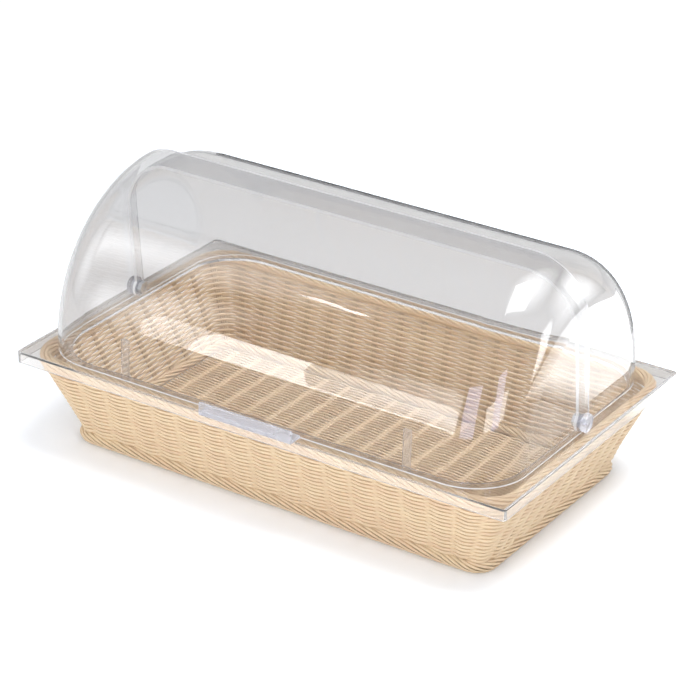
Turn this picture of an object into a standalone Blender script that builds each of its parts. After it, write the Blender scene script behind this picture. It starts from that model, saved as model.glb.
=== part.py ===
# Countertop bread display bin: a woven basket under a clear cover frame, a fixed rear
# shell and a front lid that rolls up over it. Lengths are metres, +Z is up, the front
# faces -Y, and the origin is the centre of the basket's foot, on the table.

import math

import bmesh
import bpy
from mathutils import Matrix, Vector

# Driving sizes of the whole bin
frame_length = 0.530
frame_depth = 0.325
basket_height = 0.0948
gap = 0.0003
sheet = 0.003

# Basket: plan, taper and weave
rim_clearance = 0.001
rim_braid_width = 0.012
rim_braid_height = 0.0118
rim_corner = 0.040
wall_taper = 0.0295
foot_corner = 0.030
weave_thickness = 0.0064
stake_slot = 0.0028
weave_cap = 0.0022
weave_seat_clearance = 0.0004
wall_straight = 0.0004
foot_braid_width = 0.010
foot_braid_height = 0.0120
foot_braid_base = 0.0046
foot_edge_round = 0.0022
rim_braid_crown = 0.0044
rim_edge_round = 0.0030
rim_wire_diameter = 0.003
foot_wire_diameter = 0.0024
stake_diameter = 0.002
stake_pitch = 0.027
stake_lean = 0.010
floor_thickness = 0.005

# Cover frame: flat margin with a down-turned skirt
skirt_drop = 0.0117
frame_corner = 0.004
opening_side_margin = 0.025
opening_front_margin = 0.0205
opening_round_inset = 0.005

# Pivots and the two rolled shells
pivot_rise = 0.0097
pivot_setback = 0.0044
lid_front_margin = 0.0084
lid_side_margin = 0.015
lid_end_round = 0.055
nest_step = 0.012
cheek_gap = 0.0016
shell_edge_offset = 0.005
edge_lean = math.radians(7.0)

# Pivot hardware
pin_diameter = 0.005
running_clearance = 0.0001
pin_inset = 0.0006
knob_diameter = 0.018
knob_height = 0.005
knob_bore_depth = 0.003
knob_edge_round = 0.0014
nut_across_flats = 0.011
nut_height = 0.004
washer_diameter = 0.014

# Finger grip on the lid's front edge
grip_length = 0.100
grip_reach = 0.0158
grip_height = 0.0126
grip_wall = 0.003
grip_lift = 0.0004
grip_edge_round = 0.0007

# Locating tabs inside the frame's front edge
tab_spacing = 0.306
tab_width = 0.008
tab_above_plate = 0.035
tab_below_plate = 0.007
tab_edge_round = 0.0006

# Counts and tolerances
corner_steps = 8
roll_steps = 90
end_steps = 8
turn_steps = 32
wire_resolution = 1
stake_resolution = 0
edge_segments = 2
hex_sides = 6
corner_stake_shares = (0.06, 0.50, 0.94)
knob_round_share = 0.3
ear_steps = 12
sharp_angle = math.radians(30.0)
soften_angle = math.radians(40.0)
weld = 0.00001
overrun = 0.020

# Derived places
half_length = frame_length / 2
half_depth = frame_depth / 2
plate_bottom = basket_height + gap
plate_top = plate_bottom + sheet
skirt_bottom = plate_top - skirt_drop
pivot_y = pivot_setback
pivot_z = plate_top + pivot_rise
ear_radius = pivot_rise - gap
lid_reach = half_depth - lid_front_margin + pivot_setback
lid_radius = math.hypot(lid_reach, ear_radius)
lid_half = half_length - lid_side_margin
shell_radius = lid_radius - nest_step
shell_half = lid_half - sheet - cheek_gap
shell_end_round = lid_end_round - sheet
opening_half_x = half_length - opening_side_margin
opening_half_y = half_depth - opening_front_margin
opening_round = lid_end_round - opening_round_inset
rim_half_x = half_length - sheet - rim_clearance - rim_braid_width / 2
rim_half_y = half_depth - sheet - rim_clearance - rim_braid_width / 2
foot_half_x = rim_half_x - wall_taper
foot_half_y = rim_half_y - wall_taper
rim_bottom = basket_height - rim_braid_height
rim_slot_top = basket_height - rim_braid_crown
rim_wire_z = rim_slot_top - gap - rim_wire_diameter / 2
wall_top = rim_wire_z - rim_wire_diameter / 2 - gap
wall_bend_top = rim_bottom - wall_straight
foot_wire_z = foot_braid_base + gap + foot_wire_diameter / 2
wall_bottom = foot_wire_z + foot_wire_diameter / 2 + gap
wall_bend_bottom = foot_braid_height + wall_straight
slot_top = wall_top - weave_cap
stake_top = slot_top - gap
hole_radius = pin_diameter / 2 + running_clearance

# Turns an outline's (across, up) into the bin's side view, (Y, Z)
side_view = Matrix(((0, 0, 1, 0), (1, 0, 0, 0), (0, 1, 0, 0), (0, 0, 0, 1)))

parts = bpy.data.collections.new("bread_display_bin")
cutters = bpy.data.collections.new("cutters")


# Scene housekeeping
def clear_scene():
    for old in list(bpy.data.objects):
        bpy.data.objects.remove(old, do_unlink=True)
    bpy.context.scene.collection.children.link(parts)
    bpy.context.scene.collection.children.link(cutters)


def material(name, colour, roughness, metallic=0.0, alpha=1.0):
    made = bpy.data.materials.new(name)
    made.use_nodes = True
    shader = made.node_tree.nodes["Principled BSDF"]
    shader.inputs["Base Color"].default_value = (*colour, 1.0)
    shader.inputs["Roughness"].default_value = roughness
    shader.inputs["Metallic"].default_value = metallic
    shader.inputs["Alpha"].default_value = alpha
    made.diffuse_color = (*colour, alpha)
    return made


def add_object(name, mesh, collection=parts):
    made = bpy.data.objects.new(name, mesh)
    collection.objects.link(made)
    return made


def place(made, paint, smooth=False, parent=None):
    made.data.materials.clear()
    made.data.materials.append(paint)
    for face in made.data.polygons:
        face.use_smooth = smooth
    if parent is not None:
        made.parent = parent


def empty_at(name, point):
    made = bpy.data.objects.new(name, None)
    made.location = point
    parts.objects.link(made)
    return made


# Modelling helpers
def evaluated_mesh(source):
    bpy.context.view_layer.update()
    graph = bpy.context.evaluated_depsgraph_get()
    return bpy.data.meshes.new_from_object(source.evaluated_get(graph))


def bake(made):
    mesh = evaluated_mesh(made)
    made.modifiers.clear()
    made.data = mesh


def tidy_mesh(mesh):
    work = bmesh.new()
    work.from_mesh(mesh)
    bmesh.ops.remove_doubles(work, verts=work.verts, dist=weld)
    bmesh.ops.recalc_face_normals(work, faces=work.faces)
    work.to_mesh(mesh)
    work.free()


def combine(made, tool, operation):
    tool.hide_render = True
    tool.display_type = "WIRE"
    step = made.modifiers.new("combine", "BOOLEAN")
    step.operation = operation
    step.solver = "EXACT"
    step.object = tool
    bake(made)
    bpy.data.objects.remove(tool, do_unlink=True)


def soften(made, width):
    step = made.modifiers.new("soften", "BEVEL")
    step.width = width
    step.segments = edge_segments
    step.limit_method = "ANGLE"
    step.angle_limit = soften_angle
    bake(made)


# Turned about the pivot line: the profile lists (radius, distance along X)
def turned(name, profile, steps, closed=False, collection=parts):
    mesh = bpy.data.meshes.new(name)
    points = [(radius, 0.0, along) for radius, along in profile]
    edges = [(index, index + 1) for index in range(len(points) - 1)]
    if closed:
        edges.append((len(points) - 1, 0))
    mesh.from_pydata(points, edges, [])
    made = add_object(name, mesh, collection)
    step = made.modifiers.new("turn", "SCREW")
    step.axis = "Z"
    step.angle = math.tau
    step.steps = steps
    step.render_steps = steps
    step.use_merge_vertices = True
    step.merge_threshold = weld
    step.use_normal_calculate = True
    bake(made)
    made.data.transform(Matrix.Rotation(math.pi / 2, 4, "Y"))
    tidy_mesh(made.data)
    return made


# A flat closed outline, filled, thickened half to each side and then set in place
def outline_solid(name, outline, thickness, placement, collection=parts):
    drawn = bpy.data.curves.new(name, "CURVE")
    drawn.dimensions = "2D"
    drawn.fill_mode = "BOTH"
    drawn.extrude = thickness / 2
    loop = drawn.splines.new("POLY")
    loop.points.add(len(outline) - 1)
    for point, (across, up) in zip(loop.points, outline):
        point.co = (across, up, 0.0, 1.0)
    loop.use_cyclic_u = True
    drafted = bpy.data.objects.new(name + "_outline", drawn)
    cutters.objects.link(drafted)
    mesh = evaluated_mesh(drafted)
    bpy.data.objects.remove(drafted, do_unlink=True)
    tidy_mesh(mesh)
    mesh.transform(placement)
    return add_object(name, mesh, collection)


def box_solid(name, low, high, collection=parts):
    mesh = bpy.data.meshes.new(name)
    work = bmesh.new()
    bmesh.ops.create_cube(work, size=1.0)
    size = Vector(high) - Vector(low)
    bmesh.ops.scale(work, vec=size, verts=work.verts)
    bmesh.ops.translate(work, vec=(Vector(high) + Vector(low)) / 2, verts=work.verts)
    work.to_mesh(mesh)
    work.free()
    return add_object(name, mesh, collection)


def cylinder_x(name, radius, low, high, sides, collection=parts):
    mesh = bpy.data.meshes.new(name)
    work = bmesh.new()
    bmesh.ops.create_cone(
        work,
        cap_ends=True,
        segments=sides,
        radius1=radius,
        radius2=radius,
        depth=high - low,
    )
    bmesh.ops.rotate(work, verts=work.verts, matrix=Matrix.Rotation(math.pi / 2, 3, "Y"))
    bmesh.ops.translate(work, vec=((high + low) / 2, 0.0, 0.0), verts=work.verts)
    work.to_mesh(mesh)
    work.free()
    return add_object(name, mesh, collection)


# Rounded rectangle as corner arcs, anticlockwise from the right side's upper end
def corner_arc(half_x, half_y, corner, quarter, share):
    side_x = (1, -1, -1, 1)[quarter]
    side_y = (1, 1, -1, -1)[quarter]
    angle = (quarter + share) * math.pi / 2
    across = side_x * (half_x - corner) + corner * math.cos(angle)
    along = side_y * (half_y - corner) + corner * math.sin(angle)
    return across, along


def rounded_loop(half_x, half_y, corner, steps=corner_steps):
    loop = []
    for quarter in range(4):
        for index in range(steps + 1):
            loop.append(corner_arc(half_x, half_y, corner, quarter, index / steps))
    return loop


# Ring swept round the basket: each section corner is (outward offset, height)
def swept_ring(name, section, path):
    mesh = bpy.data.meshes.new(name)
    work = bmesh.new()
    rings = []
    for offset, height in section:
        half_x, half_y, corner = path(height)
        loop = rounded_loop(half_x + offset, half_y + offset, corner + offset)
        rings.append([work.verts.new((x, y, height)) for x, y in loop])
    count = len(rings[0])
    for index, ring in enumerate(rings):
        following = rings[(index + 1) % len(rings)]
        for here in range(count):
            onward = (here + 1) % count
            work.faces.new((ring[here], ring[onward], following[onward], following[here]))
    bmesh.ops.recalc_face_normals(work, faces=work.faces)
    work.to_mesh(mesh)
    work.free()
    return add_object(name, mesh)


# Middle line of the woven wall at a height: straight ends and a taper between them
def wall_path(height):
    climb = (height - wall_bend_bottom) / (wall_bend_top - wall_bend_bottom)
    climb = min(max(climb, 0.0), 1.0)
    half_x = foot_half_x + climb * (rim_half_x - foot_half_x)
    half_y = foot_half_y + climb * (rim_half_y - foot_half_y)
    corner = foot_corner + climb * (rim_corner - foot_corner)
    return half_x, half_y, corner


# Round wire bent to the wall's middle line at one height
def ring_wire(name, diameter, height):
    drawn = bpy.data.curves.new(name, "CURVE")
    drawn.dimensions = "3D"
    drawn.bevel_depth = diameter / 2
    drawn.bevel_resolution = wire_resolution
    loop = drawn.splines.new("POLY")
    half_x, half_y, corner = wall_path(height)
    points = rounded_loop(half_x, half_y, corner)
    loop.points.add(len(points) - 1)
    for point, (across, along) in zip(loop.points, points):
        point.co = (across, along, height, 1.0)
    loop.use_cyclic_u = True
    drafted = bpy.data.objects.new(name + "_line", drawn)
    cutters.objects.link(drafted)
    mesh = evaluated_mesh(drafted)
    bpy.data.objects.remove(drafted, do_unlink=True)
    tidy_mesh(mesh)
    return add_object(name, mesh)


# Places of the upright stakes. Those on a straight wall stand parallel, one pitch apart
# from its middle, and lean along the wall. Those in a corner fan out with it.
def stake_places():
    places = []
    for quarter in range(4):
        for share in corner_stake_shares:
            places.append((2 * quarter, share, share))
        along_x = quarter % 2 == 0
        foot_run = 2 * ((foot_half_x if along_x else foot_half_y) - foot_corner)
        rim_run = 2 * ((rim_half_x if along_x else rim_half_y) - rim_corner)
        count = int((foot_run - stake_lean) / 2 / stake_pitch)
        for index in range(-count, count + 1):
            foot_share = (foot_run / 2 + index * stake_pitch - stake_lean / 2) / foot_run
            rim_share = (rim_run / 2 + index * stake_pitch + stake_lean / 2) / rim_run
            places.append((2 * quarter + 1, foot_share, rim_share))
    return places


def stake_point(piece, share, height):
    half_x, half_y, corner = wall_path(height)
    quarter = piece // 2
    if piece % 2 == 0:
        across, along = corner_arc(half_x, half_y, corner, quarter, share)
    else:
        start = corner_arc(half_x, half_y, corner, quarter, 1.0)
        end = corner_arc(half_x, half_y, corner, (quarter + 1) % 4, 0.0)
        across = start[0] + share * (end[0] - start[0])
        along = start[1] + share * (end[1] - start[1])
    return across, along, height


# Uprights standing on the foot ring, each joined to it
def stake_frame():
    drawn = bpy.data.curves.new("stakes", "CURVE")
    drawn.dimensions = "3D"
    drawn.bevel_depth = stake_diameter / 2
    drawn.bevel_resolution = stake_resolution
    drawn.use_fill_caps = True
    for piece, foot_share, rim_share in stake_places():
        bends = [
            (foot_share, foot_wire_z),
            (foot_share, wall_bend_bottom),
            (rim_share, wall_bend_top),
            (rim_share, stake_top),
        ]
        line = drawn.splines.new("POLY")
        line.points.add(len(bends) - 1)
        for point, (share, height) in zip(line.points, bends):
            point.co = (*stake_point(piece, share, height), 1.0)
    drafted = bpy.data.objects.new("stake_lines", drawn)
    cutters.objects.link(drafted)
    mesh = evaluated_mesh(drafted)
    bpy.data.objects.remove(drafted, do_unlink=True)
    tidy_mesh(mesh)
    uprights = add_object("uprights", mesh, cutters)
    frame = ring_wire("stake_frame", foot_wire_diameter, foot_wire_z)
    combine(frame, uprights, "UNION")
    tidy_mesh(frame.data)
    return frame


# Woven basket
def basket(cream, shade, steel):
    half_weave = weave_thickness / 2
    half_slot = stake_slot / 2
    wall_section = [
        (half_weave, wall_bottom),
        (half_weave, wall_bend_bottom),
        (half_weave, wall_bend_top),
        (half_weave, wall_top),
        (-half_weave, wall_top),
        (-half_weave, wall_bend_top),
        (-half_weave, wall_bend_bottom),
        (-half_weave, wall_bottom),
        (-half_slot, wall_bottom),
        (-half_slot, wall_bend_bottom),
        (-half_slot, wall_bend_top),
        (-half_slot, slot_top),
        (half_slot, slot_top),
        (half_slot, wall_bend_top),
        (half_slot, wall_bend_bottom),
        (half_slot, wall_bottom),
    ]
    place(swept_ring("side_weave", wall_section, wall_path), cream)

    seat = half_weave + weave_seat_clearance
    half_rim = rim_braid_width / 2
    rim_section = [
        (half_rim, rim_bottom),
        (half_rim, basket_height - rim_edge_round),
        (half_rim - rim_edge_round, basket_height),
        (rim_edge_round - half_rim, basket_height),
        (-half_rim, basket_height - rim_edge_round),
        (-half_rim, rim_bottom),
        (-seat, rim_bottom),
        (-seat, rim_slot_top),
        (seat, rim_slot_top),
        (seat, rim_bottom),
    ]
    place(swept_ring("rim_braid", rim_section, lambda height: wall_path(basket_height)), cream)

    half_foot = foot_braid_width / 2
    foot_section = [
        (seat, foot_braid_height),
        (seat, foot_braid_base),
        (-seat, foot_braid_base),
        (-seat, foot_braid_height),
        (-half_foot, foot_braid_height),
        (-half_foot, foot_edge_round),
        (foot_edge_round - half_foot, 0.0),
        (half_foot - foot_edge_round, 0.0),
        (half_foot, foot_edge_round),
        (half_foot, foot_braid_height),
    ]
    place(swept_ring("foot_braid", foot_section, lambda height: wall_path(0.0)), cream)

    place(ring_wire("rim_wire", rim_wire_diameter, rim_wire_z), steel, True)
    place(stake_frame(), shade)

    inner = half_foot + gap
    floor_outline = rounded_loop(foot_half_x - inner, foot_half_y - inner, foot_corner - inner)
    lift = Matrix.Translation((0.0, 0.0, floor_thickness / 2))
    place(outline_solid("floor_weave", floor_outline, floor_thickness, lift), cream)


# Clear frame: flat margin, down-turned skirt and the opening under the shells
def cover_frame(clear, root):
    outer = rounded_loop(half_length, half_depth, frame_corner)
    middle = (plate_top + skirt_bottom) / 2
    lift = Matrix.Translation((0.0, 0.0, middle))
    frame = outline_solid("cover_frame", outer, skirt_drop, lift)

    pocket = rounded_loop(half_length - sheet, half_depth - sheet, frame_corner - sheet)
    pocket_low = skirt_bottom - overrun
    lift = Matrix.Translation((0.0, 0.0, (plate_bottom + pocket_low) / 2))
    tool = outline_solid("pocket", pocket, plate_bottom - pocket_low, lift, cutters)
    combine(frame, tool, "DIFFERENCE")

    hole = rounded_loop(opening_half_x, opening_half_y, opening_round)
    lift = Matrix.Translation((0.0, 0.0, plate_top))
    tool = outline_solid("opening", hole, 2 * overrun, lift, cutters)
    combine(frame, tool, "DIFFERENCE")
    tidy_mesh(frame.data)
    place(frame, clear, False, root)


def locating_tab(name, side, clear, root):
    middle_x = side * tab_spacing / 2
    front = -opening_half_y + gap
    low = (middle_x - tab_width / 2, front, plate_bottom - tab_below_plate)
    high = (middle_x + tab_width / 2, front + sheet, plate_top + tab_above_plate)
    tab = box_solid(name, low, high)
    soften(tab, tab_edge_round)
    place(tab, clear, False, root)


# Rolled shell with round-shouldered cheeks, drawn about the pivot line
def drum_profile(half, radius, shoulder):
    profile = [(0.0, -half)]
    for index in range(end_steps + 1):
        angle = index * math.pi / 2 / end_steps
        profile.append(
            (
                radius - shoulder + shoulder * math.sin(angle),
                -half + shoulder - shoulder * math.cos(angle),
            )
        )
    mirrored = [(reach, -along) for reach, along in reversed(profile)]
    return profile + mirrored


def hollow_drum(name, half, radius, shoulder):
    drum = turned(name, drum_profile(half, radius, shoulder), roll_steps)
    core_profile = drum_profile(half - sheet, radius - sheet, shoulder - sheet)
    core = turned("core", core_profile, roll_steps, False, cutters)
    combine(drum, core, "DIFFERENCE")
    return drum


# Side view of the part of a drum that stays. It runs under the pivot, round the ear and
# up a leaning edge. Facing is 1 for the lid, kept in front, and -1 for the rear shell.
def keep_outline(facing, edge_offset):
    far = lid_radius + overrun
    lean = facing * edge_lean
    contact = lean + math.acos(min(edge_offset / ear_radius, 1.0))
    points = [(-far, -ear_radius), (0.0, -ear_radius)]
    for index in range(1, ear_steps + 1):
        angle = index / ear_steps * (contact + math.pi / 2) - math.pi / 2
        points.append((ear_radius * math.cos(angle), ear_radius * math.sin(angle)))
    edge_end_y = edge_offset * math.cos(lean) - far * math.sin(lean)
    edge_end_z = edge_offset * math.sin(lean) + far * math.cos(lean)
    points.append((edge_end_y, edge_end_z))
    points.append((-far, edge_end_z))
    return [(facing * across, up) for across, up in points]


def rolled_shell(name, half, radius, shoulder, facing, edge_offset, clear, root):
    shell = hollow_drum(name, half, radius, shoulder)
    width = 2 * (half + overrun)
    outline = keep_outline(facing, edge_offset)
    tool = outline_solid("keep", outline, width, side_view, cutters)
    combine(shell, tool, "INTERSECT")
    tool = cylinder_x("pin_hole", hole_radius, -width / 2, width / 2, turn_steps, cutters)
    combine(shell, tool, "DIFFERENCE")
    tidy_mesh(shell.data)
    place(shell, clear, True, root)
    shade_by_angle(shell)
    return shell


def shade_by_angle(made):
    work = bmesh.new()
    work.from_mesh(made.data)
    for edge in work.edges:
        if len(edge.link_faces) == 2 and edge.calc_face_angle() > sharp_angle:
            edge.smooth = False
    work.to_mesh(made.data)
    work.free()


# Finger grip: a web along the lid's front edge with an upturned lip
def lid_grip(clear, root):
    foot_z = grip_lift - pivot_rise
    web_top = foot_z + grip_wall
    lip_top = foot_z + grip_height
    front = -math.sqrt(lid_radius**2 - foot_z**2)
    back = front - gap
    lip_front = back - grip_reach
    outline = [
        (back, foot_z),
        (back, web_top),
        (lip_front + grip_wall, web_top),
        (lip_front + grip_wall, lip_top),
        (lip_front, lip_top),
        (lip_front, foot_z),
    ]
    grip = outline_solid("lid_grip", outline, grip_length, side_view)
    soften(grip, grip_edge_round)
    tidy_mesh(grip.data)
    place(grip, clear, False, root)


# One pivot: knob outside, pin through both cheeks, washer between them, nut inside
def pivot_set(word, side, clear, steel, root):
    cheek_out = lid_half + gap
    knob_out = cheek_out + knob_height
    knob_in = cheek_out + knob_bore_depth
    radius = knob_diameter / 2
    bore = pin_diameter / 2 + gap
    round_in = knob_edge_round * knob_round_share
    knob_profile = [
        (0.0, knob_out),
        (radius - knob_edge_round, knob_out),
        (radius - round_in, knob_out - round_in),
        (radius, knob_out - knob_edge_round),
        (radius, cheek_out + round_in),
        (radius - round_in, cheek_out),
        (bore, cheek_out),
        (bore, knob_in),
        (0.0, knob_in),
    ]
    knob = turned("pivot_knob_" + word, knob_profile, turn_steps)
    place(knob, clear, True, root)
    shade_by_angle(knob)

    washer_in = shell_half + gap
    washer_out = lid_half - sheet - gap
    washer_profile = [
        (washer_diameter / 2, washer_out),
        (washer_diameter / 2, washer_in),
        (bore, washer_in),
        (bore, washer_out),
    ]
    washer = turned("pivot_washer_" + word, washer_profile, turn_steps, True)
    place(washer, clear, True, root)
    shade_by_angle(washer)

    nut_out = shell_half - sheet - gap
    nut_in = nut_out - nut_height
    nut_radius = nut_across_flats / 2 / math.cos(math.pi / hex_sides)
    nut = cylinder_x("pivot_nut_" + word, nut_radius, nut_in, nut_out, hex_sides)
    tool = cylinder_x("nut_bore", bore, nut_in - overrun, nut_out + overrun, turn_steps, cutters)
    combine(nut, tool, "DIFFERENCE")
    tidy_mesh(nut.data)
    place(nut, steel, False, root)

    pin_low = nut_in + pin_inset
    pin_high = knob_in - pin_inset
    pin = cylinder_x("pivot_pin_" + word, pin_diameter / 2, pin_low, pin_high, turn_steps)
    place(pin, steel, True, root)
    shade_by_angle(pin)

    if side < 0:
        for piece in (knob, washer, nut, pin):
            piece.data.transform(Matrix.Rotation(math.pi, 4, "Z"))


def build():
    clear_scene()
    cream = material("cream_weave", (0.86, 0.72, 0.50), 0.60)
    shade = material("weave_core", (0.72, 0.58, 0.38), 0.70)
    steel = material("steel", (0.62, 0.63, 0.64), 0.35, 1.0)
    clear = material("clear_sheet", (0.92, 0.94, 0.95), 0.06, 0.0, 0.30)
    frosted = material("clear_moulding", (0.84, 0.85, 0.88), 0.20, 0.0, 0.60)
    basket(cream, shade, steel)

    cover_root = empty_at("cover_root", (0.0, 0.0, 0.0))
    cover_frame(clear, cover_root)
    locating_tab("locating_tab_left", -1, clear, cover_root)
    locating_tab("locating_tab_right", 1, clear, cover_root)

    pivot_line = (0.0, pivot_y, pivot_z)
    shell_root = empty_at("shell_root", pivot_line)
    lid_root = empty_at("lid_root", pivot_line)
    rolled_shell(
        "rear_shell",
        shell_half,
        shell_radius,
        shell_end_round,
        -1,
        shell_edge_offset,
        clear,
        shell_root,
    )
    rolled_shell(
        "front_lid",
        lid_half,
        lid_radius,
        lid_end_round,
        1,
        ear_radius,
        clear,
        lid_root,
    )
    lid_grip(frosted, lid_root)
    pivot_set("right", 1, frosted, steel, shell_root)
    pivot_set("left", -1, frosted, steel, shell_root)


build()
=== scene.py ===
# %% [markdown]
# # A countertop bread bin in clear plastic and woven strand
#
# The real bin is a woven basket with a clear cover on top. The cover is a flat frame, a
# fixed rear shell and a front lid that rolls up over it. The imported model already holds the
# sizes and the moving bodies, so this script only dresses it: it weaves the basket strand by
# strand, remakes the bent sheets with smooth faces, and sets the light and the camera.

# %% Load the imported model
import math

import bmesh
import bpy
import numpy as np
from mathutils import Matrix, Vector


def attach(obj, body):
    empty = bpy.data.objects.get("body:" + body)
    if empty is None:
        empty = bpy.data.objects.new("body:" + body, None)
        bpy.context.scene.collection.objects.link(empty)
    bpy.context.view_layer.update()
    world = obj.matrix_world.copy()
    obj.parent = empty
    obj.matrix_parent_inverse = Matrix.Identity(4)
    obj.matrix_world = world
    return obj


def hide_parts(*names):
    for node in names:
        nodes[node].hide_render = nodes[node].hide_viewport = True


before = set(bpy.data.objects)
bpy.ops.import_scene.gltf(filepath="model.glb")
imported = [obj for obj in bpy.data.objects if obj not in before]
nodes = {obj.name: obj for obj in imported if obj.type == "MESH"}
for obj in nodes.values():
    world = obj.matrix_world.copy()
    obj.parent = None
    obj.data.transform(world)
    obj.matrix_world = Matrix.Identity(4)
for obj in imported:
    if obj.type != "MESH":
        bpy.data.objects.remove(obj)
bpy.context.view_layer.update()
print("nodes:", len(nodes))

# %% [markdown]
# ## Camera and room
#
# A long lens looks down on the bin from its front right, so its long edges stay nearly
# parallel. The camera is placed by its bearing, its height angle and its distance from one
# aim point, which is easier to correct than three raw coordinates. The slight roll is the
# photograph's own.

# %% Camera
MM = 0.001
aim_point = Vector((-52.0, 88.2, 60.0)) * MM
camera_bearing = math.radians(32.0)
camera_height_angle = math.radians(26.1)
camera_distance = 2.7845
camera_roll = math.radians(1.6)
picture_width = 700
focal_pixels = 2848.9
sensor_width = 36.0

backward = Vector(
    (
        math.sin(camera_bearing) * math.cos(camera_height_angle),
        -math.cos(camera_bearing) * math.cos(camera_height_angle),
        math.sin(camera_height_angle),
    )
)
level_right = Vector((0, 0, 1)).cross(backward).normalized()
level_up = backward.cross(level_right)
right = level_right * math.cos(camera_roll) + level_up * math.sin(camera_roll)
up = level_up * math.cos(camera_roll) - level_right * math.sin(camera_roll)
turn = Matrix((right, up, backward)).transposed().to_4x4()

camera_data = bpy.data.cameras.new("camera")
camera_data.sensor_width = sensor_width
camera_data.lens = focal_pixels * sensor_width / picture_width
camera_data.clip_end = 60.0
camera = bpy.data.objects.new("camera", camera_data)
camera.matrix_world = Matrix.Translation(aim_point + backward * camera_distance) @ turn
bpy.context.scene.collection.objects.link(camera)
bpy.context.scene.camera = camera
bpy.context.scene.view_settings.view_transform = "Standard"
print("lens in mm:", round(camera_data.lens, 1))

# %% [markdown]
# Clear plastic shows almost nothing of itself. What the eye reads is the room: a white floor
# seen through it, a greyer ceiling mirrored on it, and the lamps as bright patches. So the
# world is white at the horizon and grey overhead. The floor is a plain matt white. To the
# camera alone it is a little brighter, so it ends in a white background and still shows the
# bin's soft shadow. A Light Path node picks the shade, so none of that extra white lights
# the bin.
#
# A few short helpers come first, because every material below is built from the same steps.


# %% Object and node helpers
mix_first_colour = 6
mix_second_colour = 7
mix_result_colour = 2


def put_in_scene(name, data):
    made = bpy.data.objects.new(name, data)
    bpy.context.scene.collection.objects.link(made)
    return made


def new_material(name):
    made = bpy.data.materials.new(name)
    made.use_nodes = True
    made.node_tree.nodes.clear()
    return made


def link(tree, source, target):
    tree.links.new(source, target)


def show(tree, surface):
    output = tree.nodes.new("ShaderNodeOutputMaterial")
    link(tree, surface, output.inputs["Surface"])


def value_node(tree, operation, first, second):
    step = tree.nodes.new("ShaderNodeMath")
    step.operation = operation
    for socket, given in zip(step.inputs, (first, second)):
        if isinstance(given, (int, float)):
            socket.default_value = given
        else:
            link(tree, given, socket)
    return step.outputs[0]


def mapped(tree, source, low, high, to_low, to_high):
    step = tree.nodes.new("ShaderNodeMapRange")
    limits = {"From Min": low, "From Max": high, "To Min": to_low, "To Max": to_high}
    for key, given in limits.items():
        step.inputs[key].default_value = given
    link(tree, source, step.inputs["Value"])
    return step.outputs["Result"]


def noise_node(tree, vector, scale, detail=3.0, rough=0.55):
    step = tree.nodes.new("ShaderNodeTexNoise")
    step.inputs["Scale"].default_value = scale
    step.inputs["Detail"].default_value = detail
    step.inputs["Roughness"].default_value = rough
    link(tree, vector, step.inputs["Vector"])
    return step.outputs["Fac"]


def bumped(tree, shader, height, strength, distance):
    bump = tree.nodes.new("ShaderNodeBump")
    bump.inputs["Strength"].default_value = strength
    bump.inputs["Distance"].default_value = distance
    link(tree, height, bump.inputs["Height"])
    link(tree, bump.outputs[0], shader.inputs["Normal"])


def mix_colours(tree, share, first, second):
    """A Mix node has a set of sockets for each kind of value. These are the colour ones."""
    step = tree.nodes.new("ShaderNodeMix")
    step.data_type = "RGBA"
    link(tree, share, step.inputs["Factor"])
    for number, given in ((mix_first_colour, first), (mix_second_colour, second)):
        socket = step.inputs[number]
        if isinstance(given, tuple):
            socket.default_value = given
        else:
            link(tree, given, socket)
    return step.outputs[mix_result_colour]


# %% Floor
floor_size = 40.0
floor_share = 0.86
floor_share_through_plastic = 0.92
floor_to_camera = (1.17, 1.22, 1.28, 1.0)


def floor_material():
    made = new_material("white_table")
    tree = made.node_tree
    path = tree.nodes.new("ShaderNodeLightPath")
    mirrored = path.outputs["Is Glossy Ray"]
    passed = path.outputs["Is Transmission Ray"]
    through = value_node(tree, "MAXIMUM", mirrored, passed)
    share = mapped(tree, through, 0.0, 1.0, floor_share, floor_share_through_plastic)
    grey = tree.nodes.new("ShaderNodeCombineColor")
    for socket in grey.inputs[:3]:
        link(tree, share, socket)
    colour = mix_colours(tree, path.outputs["Is Camera Ray"], grey.outputs[0], floor_to_camera)
    shader = tree.nodes.new("ShaderNodeBsdfDiffuse")
    link(tree, colour, shader.inputs["Color"])
    show(tree, shader.outputs[0])
    return made


def flat_sheet(name, corners, paint):
    mesh = bpy.data.meshes.new(name)
    mesh.from_pydata([tuple(corner) for corner in corners], [], [tuple(range(len(corners)))])
    mesh.materials.append(paint)
    return put_in_scene(name, mesh)


square = ((-0.5, -0.5), (0.5, -0.5), (0.5, 0.5), (-0.5, 0.5))
floor_corners = [(x * floor_size, y * floor_size, 0) for x, y in square]
table = flat_sheet("table", floor_corners, floor_material())
print("floor size in metres:", floor_size)

# %% [markdown]
# The world is a ramp by height: white up to a little above the horizon and grey higher up. The
# camera looks down and never sees it. It only has to give the right shades to the mirror
# images on the cover, and an even light.

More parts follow.
